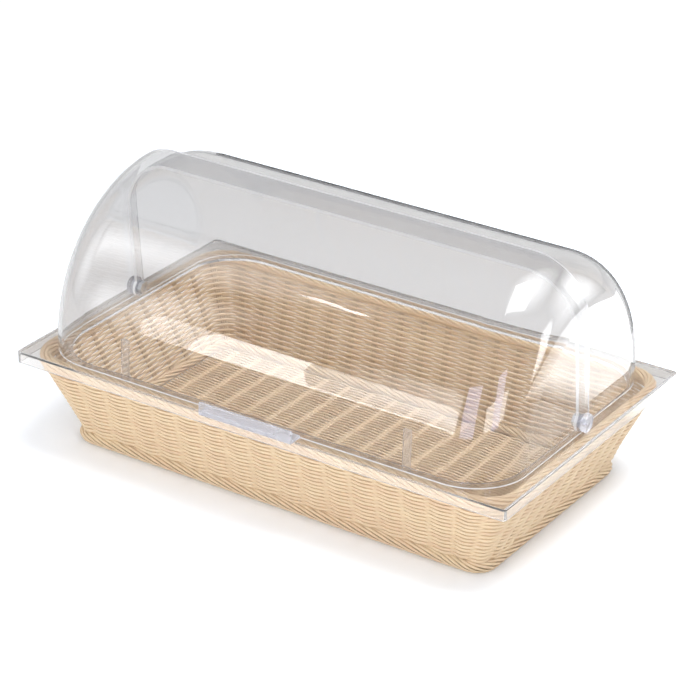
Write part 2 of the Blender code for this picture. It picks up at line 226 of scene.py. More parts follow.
# %% World
sky_grey = (0.74, 0.75, 0.77, 1.0)
sky_white = (1.0, 1.0, 1.0, 1.0)
white_up_to = 0.12
grey_from = 0.38
sky_strength = 0.82
world = bpy.data.worlds.new("studio")
world.use_nodes = True
bpy.context.scene.world = world
sky = world.node_tree
where = sky.nodes.new("ShaderNodeTexCoord")
split = sky.nodes.new("ShaderNodeSeparateXYZ")
ramp = sky.nodes.new("ShaderNodeValToRGB")
stops = zip(ramp.color_ramp.elements, (white_up_to, grey_from), (sky_white, sky_grey))
for stop, position, colour in stops:
    stop.position = position
    stop.color = colour
link(sky, where.outputs["Generated"], split.inputs[0])
link(sky, split.outputs["Z"], ramp.inputs[0])
link(sky, ramp.outputs[0], sky.nodes["Background"].inputs["Color"])
sky.nodes["Background"].inputs["Strength"].default_value = sky_strength
print("sky strength:", sky_strength)

# %% [markdown]
# ## The woven basket
#
# The basket is woven from round cream strands. Upright stakes stand 27 mm apart, and thin
# rows pass in front of one stake and behind the next, so each row is a wave. A texture could
# fake that, but its edge would stay flat against the light and the slits would be closed.
# Here each row is a real strand, swept along a path by Geometry Nodes.
#
# First come the places: a rounded rectangle at the foot, a larger one at the rim, and the
# spots on each where a stake passes. Every strand is drawn between those two rings. A ring is
# eight pieces in turn, a rounded corner and then a straight side. Sizes from here on are in
# millimetres, and MM makes them metres where a mesh is made.

# %% Basket rings and stake places
basket_height = 94.8
rim_half = (255.0, 152.5)
rim_corner = 33.0
foot_half = (225.5, 123.0)
foot_corner = 18.0
stake_pitch = 27.0
stake_lean = 10.0
corner_stakes = 3
steps_per_stake = 8
ring_pieces = 8
straight_pieces = (1, 3, 5, 7)
at_foot = 0
at_rim = 1


def ring_point(halves, corner, piece, share):
    quarter = piece // 2
    side_x = (1, -1, -1, 1)[quarter]
    side_y = (1, 1, -1, -1)[quarter]
    if piece % 2 == 0:
        angle = (quarter + share) * math.pi / 2
        return np.array(
            (
                side_x * (halves[0] - corner) + corner * math.cos(angle),
                side_y * (halves[1] - corner) + corner * math.sin(angle),
            )
        )
    start = ring_point(halves, corner, 2 * quarter, 1.0)
    end = ring_point(halves, corner, 2 * ((quarter + 1) % 4), 0.0)
    return start + share * (end - start)


def ring_length(halves, corner, piece):
    if piece % 2 == 0:
        return corner * math.pi / 2
    quarter = piece // 2
    return 2 * ((halves[0] if quarter % 2 == 0 else halves[1]) - corner)


def ring_lengths(halves, corner):
    return [ring_length(halves, corner, piece) for piece in range(ring_pieces)]


def stake_marks():
    foot_runs = ring_lengths(foot_half, foot_corner)
    rim_runs = ring_lengths(rim_half, rim_corner)
    sides = []
    for piece in straight_pieces:
        foot_middle = sum(foot_runs[:piece]) + foot_runs[piece] / 2 - stake_lean / 2
        rim_middle = sum(rim_runs[:piece]) + rim_runs[piece] / 2 + stake_lean / 2
        count = int((foot_runs[piece] - stake_lean) / 2 / stake_pitch)
        steps = [index * stake_pitch for index in range(-count, count + 1)]
        sides.append([(foot_middle + step, rim_middle + step) for step in steps])
    first = sides[0][0]
    sides.append([(first[0] + sum(foot_runs), first[1] + sum(rim_runs))])
    marks = []
    for side, following in zip(sides, sides[1:]):
        marks += side
        for index in range(1, corner_stakes + 1):
            share = index / (corner_stakes + 1)
            here, there = np.array(side[-1]), np.array(following[0])
            marks.append(tuple(here + share * (there - here)))
    return marks + sides[-1]


marks = stake_marks()
stake_total = len(marks) - 1
print("stakes round the basket:", stake_total)

# %% [markdown]
# Between two stakes the strand needs extra points. They are spread evenly by length along
# each ring, so the foot's points and the rim's points pair up and a strand at any height is
# a plain mix of the two.


# %% Rails: paired points round the foot and the rim
def point_at(halves, corner, distance):
    lengths = ring_lengths(halves, corner)
    distance %= sum(lengths)
    for piece, length in enumerate(lengths):
        if distance <= length:
            return ring_point(halves, corner, piece, distance / length)
        distance -= length
    return ring_point(halves, corner, ring_pieces - 1, 1.0)


def rail(halves, corner, end, steps=steps_per_stake):
    points = []
    for here, there in zip(marks, marks[1:]):
        for step in range(steps):
            distance = here[end] + (there[end] - here[end]) * step / steps
            points.append(point_at(halves, corner, distance))
    return np.array(points)


foot_rail = rail(foot_half, foot_corner, at_foot)
rim_rail = rail(rim_half, rim_corner, at_rim)
rail_count = len(foot_rail)


def outward(points):
    ahead = np.roll(points, -1, axis=0) - np.roll(points, 1, axis=0)
    ahead /= np.linalg.norm(ahead, axis=1)[:, None]
    return np.column_stack((ahead[:, 1], -ahead[:, 0]))


foot_out = outward(foot_rail)
rim_out = outward(rim_rail)
print("points round a row:", rail_count)

# %% [markdown]
# ### Strands
#
# One small node tree turns any set of lines into round strands. It sweeps a ring of a few
# sides along each line, keeps the distance along and around as an attribute for the grain,
# and ends in Realize Instances and Set Material, so what comes out is one plain mesh.


# %% Node tree for strands
strand_inputs = {
    "Lines": "Geometry",
    "Radius": "Float",
    "Depth": "Float",
    "Height": "Float",
    "Level": "Bool",
    "Sides": "Int",
    "Finish": "Material",
}


def keep_number(tree, name):
    step = tree.nodes.new("GeometryNodeStoreNamedAttribute")
    step.domain = "POINT"
    step.data_type = "FLOAT"
    step.inputs["Name"].default_value = name
    return step


def strand_tree():
    tree = bpy.data.node_groups.new("strand", "GeometryNodeTree")
    face = tree.interface
    for name, kind in strand_inputs.items():
        face.new_socket(name, in_out="INPUT", socket_type="NodeSocket" + kind)
    face.new_socket("Strands", in_out="OUTPUT", socket_type="NodeSocketGeometry")
    add = tree.nodes.new
    given = add("NodeGroupInput")
    to_curve = add("GeometryNodeMeshToCurve")
    upright = add("GeometryNodeSetCurveNormal")
    upright.mode = "Z_UP"
    section = add("GeometryNodeCurvePrimitiveCircle")
    squeeze = add("ShaderNodeCombineXYZ")
    squeeze.inputs["Z"].default_value = 1.0
    flatten = add("GeometryNodeTransform")
    thickness = add("GeometryNodeInputNamedAttribute")
    thickness.data_type = "FLOAT"
    thickness.inputs["Name"].default_value = "thickness"
    along = add("GeometryNodeSplineParameter")
    around = add("GeometryNodeSplineParameter")
    keep_along = keep_number(tree, "along")
    keep_around = keep_number(tree, "around")
    sweep = add("GeometryNodeCurveToMesh")
    smooth = add("GeometryNodeSetShadeSmooth")
    realize = add("GeometryNodeRealizeInstances")
    paint = add("GeometryNodeSetMaterial")
    result = add("NodeGroupOutput")
    link(tree, given.outputs["Lines"], to_curve.inputs["Mesh"])
    link(tree, given.outputs["Sides"], section.inputs["Resolution"])
    link(tree, given.outputs["Radius"], section.inputs["Radius"])
    link(tree, to_curve.outputs["Curve"], upright.inputs["Curve"])
    link(tree, given.outputs["Level"], upright.inputs["Selection"])
    link(tree, upright.outputs["Curve"], keep_along.inputs["Geometry"])
    link(tree, along.outputs["Length"], keep_along.inputs["Value"])
    link(tree, given.outputs["Depth"], squeeze.inputs["X"])
    link(tree, given.outputs["Height"], squeeze.inputs["Y"])
    link(tree, section.outputs["Curve"], flatten.inputs["Geometry"])
    link(tree, squeeze.outputs[0], flatten.inputs["Scale"])
    link(tree, flatten.outputs["Geometry"], keep_around.inputs["Geometry"])
    link(tree, around.outputs["Factor"], keep_around.inputs["Value"])
    link(tree, keep_along.outputs["Geometry"], sweep.inputs["Curve"])
    link(tree, keep_around.outputs["Geometry"], sweep.inputs["Profile Curve"])
    link(tree, thickness.outputs["Attribute"], sweep.inputs["Scale"])
    sweep.inputs["Fill Caps"].default_value = True
    link(tree, sweep.outputs["Mesh"], smooth.inputs["Geometry"])
    link(tree, smooth.outputs["Geometry"], realize.inputs["Geometry"])
    link(tree, realize.outputs["Geometry"], paint.inputs["Geometry"])
    link(tree, given.outputs["Finish"], paint.inputs["Material"])
    link(tree, paint.outputs["Geometry"], result.inputs["Strands"])
    return tree


strand_nodes = strand_tree()
print("strand tree nodes:", len(strand_nodes.nodes))

# %% [markdown]
# The helper below draws the lines as a mesh of plain edges, lets the tree sweep them, and
# keeps the result as an ordinary mesh. The tree's inputs are set by their identifiers, since
# a modifier doesn't know a socket by its name.


# %% Weaving helper
def socket_key(tree, name):
    for item in tree.interface.items_tree:
        if item.name == name and item.in_out == "INPUT":
            return item.identifier
    raise KeyError(name)


def point_number(mesh, name, values):
    kept = mesh.attributes.new(name, "FLOAT", "POINT")
    kept.data.foreach_set("value", np.asarray(values).astype(np.float32))


def strands(
    name, lines, diameter, sides, finish, closed=True, numbers=None, squeeze=None, thick=None
):
    """lines is a list of point arrays in millimetres; the result is one plain mesh.

    squeeze is the section's (depth, height) as shares of the diameter, on level strands only.
    thick holds one array of diameter shares for each line.
    """
    points = np.concatenate(lines) * MM
    edges = []
    start = 0
    for line in lines:
        edges += [(start + step, start + step + 1) for step in range(len(line) - 1)]
        if closed:
            edges.append((start + len(line) - 1, start))
        start += len(line)
    mesh = bpy.data.meshes.new(name + "_lines")
    mesh.from_pydata(points.tolist(), edges, [])
    numbered = numbers if numbers is not None else range(len(lines))
    point_number(mesh, "strand", np.repeat(list(numbered), [len(line) for line in lines]))
    shares = np.concatenate(thick) if thick is not None else np.ones(len(points))
    point_number(mesh, "thickness", shares)
    drawn = put_in_scene(name + "_lines", mesh)
    sweep = drawn.modifiers.new("strand", "NODES")
    sweep.node_group = strand_nodes
    depth, height = squeeze or (1.0, 1.0)
    given = {
        "Radius": diameter * MM / 2,
        "Depth": depth,
        "Height": height,
        "Level": squeeze is not None,
        "Sides": sides,
        "Finish": finish,
    }
    for word, value in given.items():
        sweep[socket_key(strand_nodes, word)] = value
    bpy.context.view_layer.update()
    graph = bpy.context.evaluated_depsgraph_get()
    plain = bpy.data.meshes.new_from_object(drawn.evaluated_get(graph))
    plain.name = name
    bpy.data.objects.remove(drawn, do_unlink=True)
    made = put_in_scene(name, plain)
    triangles = sum(len(face.vertices) - 2 for face in plain.polygons)
    print(name, "strands:", len(lines), "triangles:", triangles)
    return made


def finish_piece(made, body, slot_name, *replaced):
    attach(made, body)
    if replaced:
        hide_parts(*replaced)
    return made


# %% [markdown]
# ### The strand's finish
#
# The strands are moulded plastic made to look like willow: a cream colour that drifts a
# little from strand to strand, fine lines along the length and a soft satin shine. The
# pattern is read from the distance along and around each strand, so the lines follow every
# bend. The slits are dark because they are deep. The strands inside the weave, the stakes
# and their turned ends, are painted darker: a painted shade for the shadow they lie in.

# %% Strand finish
cream = (0.700, 0.525, 0.330, 1.0)
cream_light = (0.800, 0.650, 0.450, 1.0)
cream_pink = (0.700, 0.500, 0.335, 1.0)
strand_roughness = 0.46
strand_shine = 0.42
fine_along = 60.0
fine_around = 14.0
fine_step = 3.7
drift_along = 9.0
drift_step = 1.9
grain_strength = 0.25
grain_depth = 0.0002


def attribute_value(tree, name):
    step = tree.nodes.new("ShaderNodeAttribute")
    step.attribute_name = name
    return step.outputs["Fac"]


def strand_finish(name, painted_shade_value=1.0, roughness=strand_roughness):
    made = new_material(name)
    tree = made.node_tree
    along = attribute_value(tree, "along")
    around = attribute_value(tree, "around")
    number = attribute_value(tree, "strand")
    place = tree.nodes.new("ShaderNodeCombineXYZ")
    link(tree, value_node(tree, "MULTIPLY", along, fine_along), place.inputs["X"])
    link(tree, value_node(tree, "MULTIPLY", around, fine_around), place.inputs["Y"])
    link(tree, value_node(tree, "MULTIPLY", number, fine_step), place.inputs["Z"])
    grain = noise_node(tree, place.outputs[0], 1.0, 4.0)
    drift = tree.nodes.new("ShaderNodeCombineXYZ")
    link(tree, value_node(tree, "MULTIPLY", along, drift_along), drift.inputs["X"])
    link(tree, value_node(tree, "MULTIPLY", number, drift_step), drift.inputs["Y"])
    slow = noise_node(tree, drift.outputs[0], 1.0, 2.0)
    light_share = mapped(tree, grain, 0.3, 0.7, 0.0, 1.0)
    pink_share = mapped(tree, slow, 0.42, 0.68, 0.0, 0.75)
    colour = mix_colours(tree, light_share, cream, cream_light)
    colour = mix_colours(tree, pink_share, colour, cream_pink)
    # painted_shade_value below 1 darkens the colour: painted shade for strands in shadow inside
    # the weave.
    shaded = tree.nodes.new("ShaderNodeHueSaturation")
    shaded.inputs["Value"].default_value = painted_shade_value
    link(tree, colour, shaded.inputs["Color"])
    shader = tree.nodes.new("ShaderNodeBsdfPrincipled")
    link(tree, shaded.outputs[0], shader.inputs["Base Color"])
    shader.inputs["Specular IOR Level"].default_value = strand_shine
    dull = mapped(tree, grain, 0.2, 0.8, roughness - 0.08, roughness + 0.10)
    link(tree, dull, shader.inputs["Roughness"])
    bumped(tree, shader, grain, grain_strength, grain_depth)
    show(tree, shader.outputs[0])
    return made


strand_paint = strand_finish("cream_strand")
# The stakes get a painted shade, darker cream for the shadow inside the weave.
stake_paint_with_painted_shade = strand_finish("stake_strand_painted_shade", painted_shade_value=0.84, roughness=0.55)
# The foot border's turned ends get a deep painted shade for the shadow in its hollows.
hollow_paint_with_painted_shade = strand_finish("foot_hollow_painted_shade", painted_shade_value=0.42, roughness=0.6)
print("strand finishes:", strand_paint.name, stake_paint_with_painted_shade.name, hollow_paint_with_painted_shade.name)

# %% [markdown]
# ### Side wall
#
# Rows lie 2.4 mm apart. At a stake one row bulges outwards and the next inwards, which
# leaves the column of short slits that the basket shows. A row swings at right angles to the
# leaning wall. It is flatter than round, and thinner where it crosses between two stakes, as
# a soft strand is when it is beaten down on the row below. The even rows make one piece and
# the odd rows another, which keeps each mesh smaller.

# %% Side wall rows
row_height = 3.1
row_squeeze = (0.62, 1.0)
row_pitch = 2.4
row_swing = 1.85
crossing_share = 0.82
taper_low = 12.4
taper_high = 82.6
first_row = 13.6
row_total = 29
wall_lean = math.atan2(rim_half[0] - foot_half[0], taper_high - taper_low)
wall_sides = 10


def wall_share(height):
    return min(max((height - taper_low) / (taper_high - taper_low), 0.0), 1.0)


def row_wave(phase, count, steps):
    return np.cos(math.pi * (phase + np.arange(count) / steps))


def wall_row(height, phase):
    share = wall_share(height)
    wave = row_wave(phase, rail_count, steps_per_stake)
    swing = wave * row_swing
    middle = foot_rail + share * (rim_rail - foot_rail)
    out = foot_out + share * (rim_out - foot_out)
    ground = middle + out * (swing * math.cos(wall_lean))[:, None]
    thick = crossing_share + (1 - crossing_share) * np.abs(wave)
    return np.column_stack((ground, height - swing * math.sin(wall_lean))), thick


row_heights = [first_row + row_pitch * index for index in range(row_total)]
wall_rows = [wall_row(height, index) for index, height in enumerate(row_heights)]
for word, start in (("even", 0), ("odd", 1)):
    drawn_rows = wall_rows[start::2]
    wall = strands(
        "side_rows_" + word,
        [row for row, thick in drawn_rows],
        row_height,
        wall_sides,
        strand_paint,
        numbers=range(start, row_total, 2),
        squeeze=row_squeeze,
        thick=[thick for row, thick in drawn_rows],
    )
    finish_piece(wall, "basket", "cream_weave", "side_weave")

# %% [markdown]
# Each stake is three thin strands side by side. They fill the space behind a bulge, so a
# slit shows a strand and not the room behind. The stakes are painted darker, a painted
# shade that makes that strand tan. A stake is upright below and above the leaning part of the
# wall.

# %% Stakes
stake_diameter = 2.2
stake_gap = 2.1
stake_foot = 4.0
stake_top = 86.0
stake_sides = 8
stake_strands = (-1, 0, 1)


def beside(out, distance):
    return np.array((-out[1], out[0])) * distance


def stake_line(index, side):
    step = index * steps_per_stake
    foot = foot_rail[step] + beside(foot_out[step], stake_gap * side)
    rim = rim_rail[step] + beside(rim_out[step], stake_gap * side)
    points = []
    for height in (stake_foot, taper_low, taper_high, stake_top):
        points.append((*(foot + wall_share(height) * (rim - foot)), height))
    return np.array(points)


stake_lines = [stake_line(index, side) for index in range(stake_total) for side in stake_strands]
uprights = strands("stakes", stake_lines, stake_diameter, stake_sides, stake_paint_with_painted_shade, closed=False)
finish_piece(uprights, "basket", "weave_core", "stake_frame")

# %% [markdown]
# At both ends the stakes turn over and run round the basket inside the borders. They are
# seen only in the rim's gaps and the foot border's hollows, so they carry painted shade: a
# darker tan at the rim and a brown painted shade in the hollows of the foot border.

# %% Turned stake ends
ring_sides = 10
end_rings = (
    (rim_half, rim_corner, at_rim, 83.6, 4.4, stake_paint_with_painted_shade),
    (rim_half, rim_corner, at_rim, 89.0, 5.0, stake_paint_with_painted_shade),
    # The foot ring carries the deep painted shade of the foot border's hollows.
    (foot_half, foot_corner, at_foot, 5.9, 3.2, hollow_paint_with_painted_shade),
)


def ring_line(halves, corner, end, height):
    path = rail(halves, corner, end)
    return np.column_stack((path, np.full(len(path), height)))


for number, (halves, corner, end, height, diameter, paint) in enumerate(end_rings):
    ring = [ring_line(halves, corner, end, height)]
    turned = strands("stake_ends_" + str(number), ring, diameter, ring_sides, paint)
    finish_piece(turned, "basket", "weave_core")

# %% [markdown]
# ### Rim and foot borders
#
# Both borders are ropes laid of eight strands, a quarter turn per stake, with the same hand.
# A rope is easiest to make as strands that circle the border's middle line. Each strand is
# drawn thinner where it passes the outer side below the middle, and that opens the slanting
# gaps which the real borders have there, wide at the foot and narrow at the rim.

# %% Borders
border_strands = 8
border_sides = 8
border_steps = 6
border_count = stake_total * border_steps
border_hand = -1
quarter_turn = math.pi / 2
gap_angle = math.radians(-35.0)
gap_width = 0.6


def laid_rope(halves, corner, middle_z, radii, end, thin_share):
    path = rail(halves, corner, end, border_steps)
    out = outward(path)
    turn = np.arange(border_count) / border_steps * quarter_turn
    lines = []
    thick = []
    for strand in range(border_strands):
        angle = border_hand * turn + strand * math.tau / border_strands
        ground = path + out * (np.cos(angle) * radii[0])[:, None]
        lines.append(np.column_stack((ground, middle_z + np.sin(angle) * radii[1])))
        off_gap = (angle - gap_angle + math.pi) % math.tau - math.pi
        thick.append(1 - thin_share * np.exp(-((off_gap / gap_width) ** 2)))
    return lines, thick


rim_radius = (4.3, 4.2)
rim_strand = 3.3
rim_z = basket_height - rim_radius[1] - rim_strand / 2
rim_thinning = 0.25
rim_lines, rim_thick = laid_rope(
    rim_half, rim_corner, rim_z, rim_radius, at_rim, rim_thinning
)
rim_rope = strands(
    "rim_border", rim_lines, rim_strand, border_sides, strand_paint, thick=rim_thick
)
finish_piece(rim_rope, "basket", "cream_weave", "rim_braid")

foot_radius = (3.5, 4.4)
foot_strand = 3.0
foot_z = foot_radius[1] + foot_strand / 2
foot_thinning = 0.62
foot_lines, foot_thick = laid_rope(
    foot_half, foot_corner, foot_z, foot_radius, at_foot, foot_thinning
)
foot_rope = strands(
    "foot_border", foot_lines, foot_strand, border_sides, strand_paint, thick=foot_thick
)
finish_piece(foot_rope, "basket", "cream_weave", "foot_braid")

# %% [markdown]
# ### Floor
#
# The floor is woven flat: rows run along the bin and cross stakes that run front to back. The
# rows next to the front and the back are shorter, since they end at the rounded corners.

# %% Woven floor
floor_half = (220.2, 117.7)
floor_corner = 12.7
floor_strand = 2.2
floor_swing = 1.35
floor_z = 2.5
floor_steps = 6
floor_sides = 8
length_half, depth_half = floor_half


def floor_reach(aside, half, aside_half):
    """How far the floor reaches one way, at a distance aside from the middle line."""
    over = abs(aside) - (aside_half - floor_corner)
    if over <= 0:
        return half
    bend = math.sqrt(max(floor_corner**2 - over**2, 0.0))
    return half - floor_corner + bend


floor_rows = []
floor_total = int(2 * (depth_half - floor_strand / 2) / row_pitch)
for index in range(floor_total + 1):
    y = (index - floor_total / 2) * row_pitch
    edge = abs(y) + floor_strand / 2
    reach = floor_reach(edge, length_half, depth_half) - floor_strand / 2
    xs = np.linspace(-reach, reach, int(2 * reach / stake_pitch * floor_steps))
    wave = np.cos(math.pi * (xs / stake_pitch + index)) * floor_swing
    floor_rows.append(np.column_stack((xs, np.full(len(xs), y), floor_z + wave)))
floor_piece = strands(
    "floor_rows", floor_rows, floor_strand, floor_sides, strand_paint, closed=False
)
finish_piece(floor_piece, "basket", "cream_weave", "floor_weave")

# %% [markdown]
# The floor's stakes show only as short bits between the rows, so they are plain straight
# strands. The ones near the ends are shorter, since they stand where the corners bend.

# %% Floor stakes
floor_stake_diameter = 1.4
floor_stake_room = 1.0
floor_stakes_aside = 8

floor_stakes = []
for index in range(-floor_stakes_aside, floor_stakes_aside + 1):
    x = index * stake_pitch
    edge = abs(x) + floor_stake_room
    reach = floor_reach(edge, depth_half, length_half) - floor_stake_room
    floor_stakes.append(np.array([(x, y, floor_z) for y in (-reach, 0.0, reach)]))
# The floor stakes carry the stakes' painted shade.
floor_uprights = strands(
    "floor_stakes", floor_stakes, floor_stake_diameter, floor_sides, stake_paint_with_painted_shade, closed=False
)
finish_piece(floor_uprights, "basket", "cream_weave")

# %% [markdown]
# ## The clear cover
#
# The cover is moulded in clear acrylic: a flat frame with a turned-down skirt, and two rolled
# shells on one pivot line. Acrylic bends light a little less than glass. The material lets
# lamp light straight through, because a shadow ray that meets real glass stops there and the
# basket inside would turn black. The frame's plate lets through more lamp light than it
# shows, so the rope under it stays pale. A sawn edge is cloudy, so the rims of the shells have
# a finish of their own, and the skirt, the tabs and the small mouldings are a little milky.

# %% Clear finishes
acrylic_index = 1.49
haze_scale = 9.0
ripple_scale = 24.0
ripple_strength = 0.5
ripple_depth = 0.0001


def clear_finish(name, colour, roughness, clear_share=1.0, index=acrylic_index, lamp_colour=None):
    """roughness is the lowest and the highest value that a slow haze wanders between."""
    made = new_material(name)
    tree = made.node_tree
    where = tree.nodes.new("ShaderNodeTexCoord").outputs["Object"]
    haze = noise_node(tree, where, haze_scale, 2.0)
    shader = tree.nodes.new("ShaderNodeBsdfPrincipled")
    shader.inputs["Base Color"].default_value = colour
    shader.inputs["IOR"].default_value = index
    shader.inputs["Transmission Weight"].default_value = clear_share
    link(tree, mapped(tree, haze, 0.3, 0.7, *roughness), shader.inputs["Roughness"])
    ripple = noise_node(tree, where, ripple_scale, 1.0)
    bumped(tree, shader, ripple, ripple_strength, ripple_depth)
    through = tree.nodes.new("ShaderNodeBsdfTransparent")
    through.inputs["Color"].default_value = lamp_colour or colour
    path = tree.nodes.new("ShaderNodeLightPath")
    mixed = tree.nodes.new("ShaderNodeMixShader")
    link(tree, path.outputs["Is Shadow Ray"], mixed.inputs[0])
    link(tree, shader.outputs[0], mixed.inputs[1])
    link(tree, through.outputs[0], mixed.inputs[2])
    show(tree, mixed.outputs[0])
    return made


shell_paint = clear_finish("clear_shell", (0.845, 0.845, 0.85, 1.0), (0.0, 0.03))
edge_paint = clear_finish("sawn_edge", (0.76, 0.76, 0.76, 1.0), (0.35, 0.45), 0.1)
frame_paint = clear_finish(
    "clear_frame",
    (0.73, 0.72, 0.71, 1.0),
    (0.03, 0.08),
    index=1.35,
    lamp_colour=(0.94, 0.94, 0.94, 1.0),
)
skirt_paint = clear_finish("milky_skirt", (0.93, 0.925, 0.92, 1.0), (0.08, 0.15), 0.90)
tab_paint = clear_finish("clear_tab", (0.90, 0.90, 0.91, 1.0), (0.05, 0.10), 0.95, 1.20)
moulded_paint = clear_finish("frosted_moulding", (0.78, 0.78, 0.81, 1.0), (0.18, 0.30), 0.85)
print("clear finishes ready, index of the shells:", acrylic_index)

# %% [markdown]
# ### Rolled shells
#
# Each shell is part of a drum turned about the pivot line: flat cheeks, rounded shoulders and
# a long roll between them. The CAD drum has a few flat steps, which clear plastic would show
# as stripes. So the shell is drawn again on a fine grid of rings about the pivot, and Solidify
# gives it its 3 mm wall.

# %% Drum sizes and section
sheet_thickness = 3.0
pivot = (4.4, 107.8)
ear_radius = 9.4
pin_hole = 2.6
edge_lean = 7.0
sweep_steps = 110
ear_free_steps = 24
shoulder_steps = 20
roll_segments = 26
cheek_rings = (9.4, 11.0, 14.0, 19.0, 27.0, 38.0, 52.0, 68.0, 86.0)
shoulder_room = 4.0


def shell_profile(half, radius, shoulder):
    """From one pivot round to the other: (distance from the pivot line, place along it)."""
    flat = radius - shoulder
    side = [(ring, half) for ring in cheek_rings if ring < flat - shoulder_room]
    for step in range(shoulder_steps + 1):
        angle = step / shoulder_steps * math.pi / 2
        along = half - shoulder + shoulder * math.cos(angle)
        side.append((flat + shoulder * math.sin(angle), along))
    roll_end = half - shoulder
    roll = []
    for step in range(1, roll_segments):
        roll.append((radius, roll_end - 2 * roll_end * step / roll_segments))
    return side + roll + [(ring, -along) for ring, along in reversed(side)]


def sweep_limits(ring, edge_offset, lean):
    edge = lean + math.degrees(math.acos(min(edge_offset / ring, 1.0)))
    foot = 180.0 + math.degrees(math.asin(min(ear_radius / ring, 1.0)))
    return math.radians(edge), math.radians(foot)


def drum_point(along, facing, ring, angle):
    y = pivot[0] + facing * ring * math.cos(angle)
    z = pivot[1] + ring * math.sin(angle)
    return (along * MM, y * MM, z * MM)


print("steps round the drum:", sweep_steps)

# %% [markdown]
# The section is turned about the pivot line, from the shell's upper edge down to its foot.
# Each cheek ends in a round ear with a hole for the pivot pin. The ear closes the part of the
# circle that the sweep leaves open.


# %% Sheet and ears
def shell_grid(work, profile, facing, edge_offset):
    grid = []
    for ring, along in profile:
        low, high = sweep_limits(ring, edge_offset, facing * edge_lean)
        line = []
        for step in range(sweep_steps + 1):
            angle = low + (high - low) * step / sweep_steps
            line.append(work.verts.new(drum_point(along, facing, ring, angle)))
        grid.append(line)
    for here, there in zip(grid, grid[1:]):
        for step in range(sweep_steps):
            work.faces.new((here[step], here[step + 1], there[step + 1], there[step]))
    return grid


def close_ear(work, line, along, facing, edge_offset):
    low, high = sweep_limits(ear_radius, edge_offset, facing * edge_lean)
    outer = list(line)
    for step in range(1, ear_free_steps):
        angle = high + (math.tau - high + low) * step / ear_free_steps
        outer.append(work.verts.new(drum_point(along, facing, ear_radius, angle)))
    inner = []
    for vert in outer:
        offset = Vector((vert.co.y - pivot[0] * MM, vert.co.z - pivot[1] * MM)).normalized()
        y = pivot[0] * MM + offset.x * pin_hole * MM
        z = pivot[1] * MM + offset.y * pin_hole * MM
        inner.append(work.verts.new((along * MM, y, z)))
    for step in range(len(outer)):
        onward = (step + 1) % len(outer)
        work.faces.new((outer[step], outer[onward], inner[onward], inner[step]))


print("steps round the open part of an ear:", ear_free_steps)

# %% [markdown]
# Solidify gives the sheet its wall, and a small bevel rounds the edges, since a real sawn edge
# is never sharp and a rounded one catches a thin line of light. The rim and the bevel take the
# cloudy finish. The frame below uses the same bevel.

# %% Shell builder
sharp_angle = math.radians(50)
bevel_segments = 3
sheet_bevel = 0.5


def smooth_mesh(name, work, paints):
    mesh = bpy.data.meshes.new(name)
    work.to_mesh(mesh)
    work.free()
    for paint in paints:
        mesh.materials.append(paint)
    mesh.polygons.foreach_set("use_smooth", [True] * len(mesh.polygons))
    return mesh


def soften_edges(made, width, paint_number=-1):
    edge = made.modifiers.new("edge", "BEVEL")
    edge.width = width * MM
    edge.segments = bevel_segments
    edge.limit_method = "ANGLE"
    edge.angle_limit = sharp_angle
    edge.harden_normals = True
    edge.material = paint_number


def rolled_shell(name, half, radius, shoulder, facing, edge_offset):
    work = bmesh.new()
    grid = shell_grid(work, shell_profile(half, radius, shoulder), facing, edge_offset)
    close_ear(work, grid[0], half, facing, edge_offset)
    close_ear(work, grid[-1], -half, facing, edge_offset)
    bmesh.ops.recalc_face_normals(work, faces=work.faces)
    top = max(work.faces, key=lambda face: face.calc_center_median().z)
    if top.normal.z < 0:
        bmesh.ops.reverse_faces(work, faces=work.faces)
    mesh = smooth_mesh(name, work, (shell_paint, edge_paint))
    made = put_in_scene(name, mesh)
    wall = made.modifiers.new("wall", "SOLIDIFY")
    wall.thickness = sheet_thickness * MM
    wall.offset = -1.0
    wall.material_offset_rim = 1
    soften_edges(made, sheet_bevel, paint_number=1)
    print(name, "faces in the drawn sheet:", len(mesh.polygons))
    return made


# %% [markdown]
# The rear shell is the smaller twin, so the lid can roll up over it. It faces the other way.

# %% Lid and rear shell
to_front = 1
to_back = -1
lid_half = 250.0
lid_radius = 158.8
lid_shoulder = 55.0
rear_half = 245.4
rear_radius = 146.8
rear_shoulder = 52.0
rear_edge_offset = 5.0

lid = rolled_shell(
    "front_lid_shell", lid_half, lid_radius, lid_shoulder, to_front, ear_radius
)
finish_piece(lid, "lid", "clear_sheet", "front_lid")
rear = rolled_shell(
    "rear_shell_smooth", rear_half, rear_radius, rear_shoulder, to_back, rear_edge_offset
)
finish_piece(rear, "cover", "clear_sheet", "rear_shell")

# %% [markdown]
# ### Cover frame
#
# The frame is one moulding: a flat rim round a rounded opening, with a skirt that drops over
# the basket's rope. Its section is walked round matched loops, which keeps the corners clean
# without a boolean, and a small bevel gives the edges the light line of moulded plastic.

# %% Cover frame
frame_half = (265.0, 162.5)
frame_corner = 4.0
opening_half = (240.0, 142.0)
opening_corner = 50.0
plate_top = 98.1
plate_bottom = 95.1
skirt_bottom = 86.4
corner_steps = 14
side_steps = 14
frame_bevel = 0.6


def matched_loop(halves, corner):
    loop = []
    for piece in range(ring_pieces):
        steps = corner_steps if piece % 2 == 0 else side_steps
        for step in range(steps):
            loop.append(ring_point(halves, corner, piece, step / steps))
    return loop


